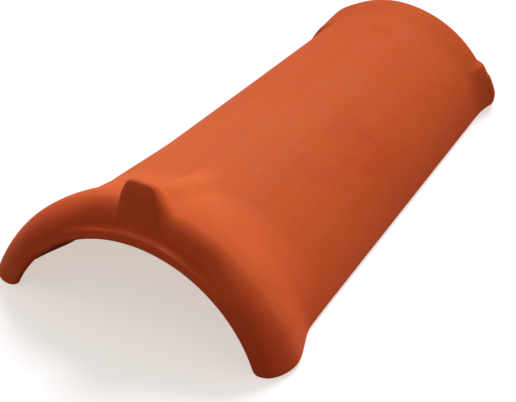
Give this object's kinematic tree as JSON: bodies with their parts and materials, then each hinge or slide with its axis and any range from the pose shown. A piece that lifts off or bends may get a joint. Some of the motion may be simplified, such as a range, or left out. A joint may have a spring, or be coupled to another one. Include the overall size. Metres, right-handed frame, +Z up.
{
  "type": "clay ridge tile",
  "caption": "Tapered half-round clay ridge or hip tile with a flared collar, a nib on the crown and a lug on each flank at the narrow end.",
  "frame": {"origin": "centre of the tile's footprint, in the plane of its two long soles", "axes": "+Y from the wide collar mouth to the narrow end, +Z up through the crown, +X to the right seen from the mouth"},
  "size_m": [0.2554, 0.4032, 0.1214],
  "materials": {
    "clay": "matt fired clay, unglazed"
  },
  "bodies": {
    "root": {"ridge_tile": "clay"}
  },
  "joints": []
}
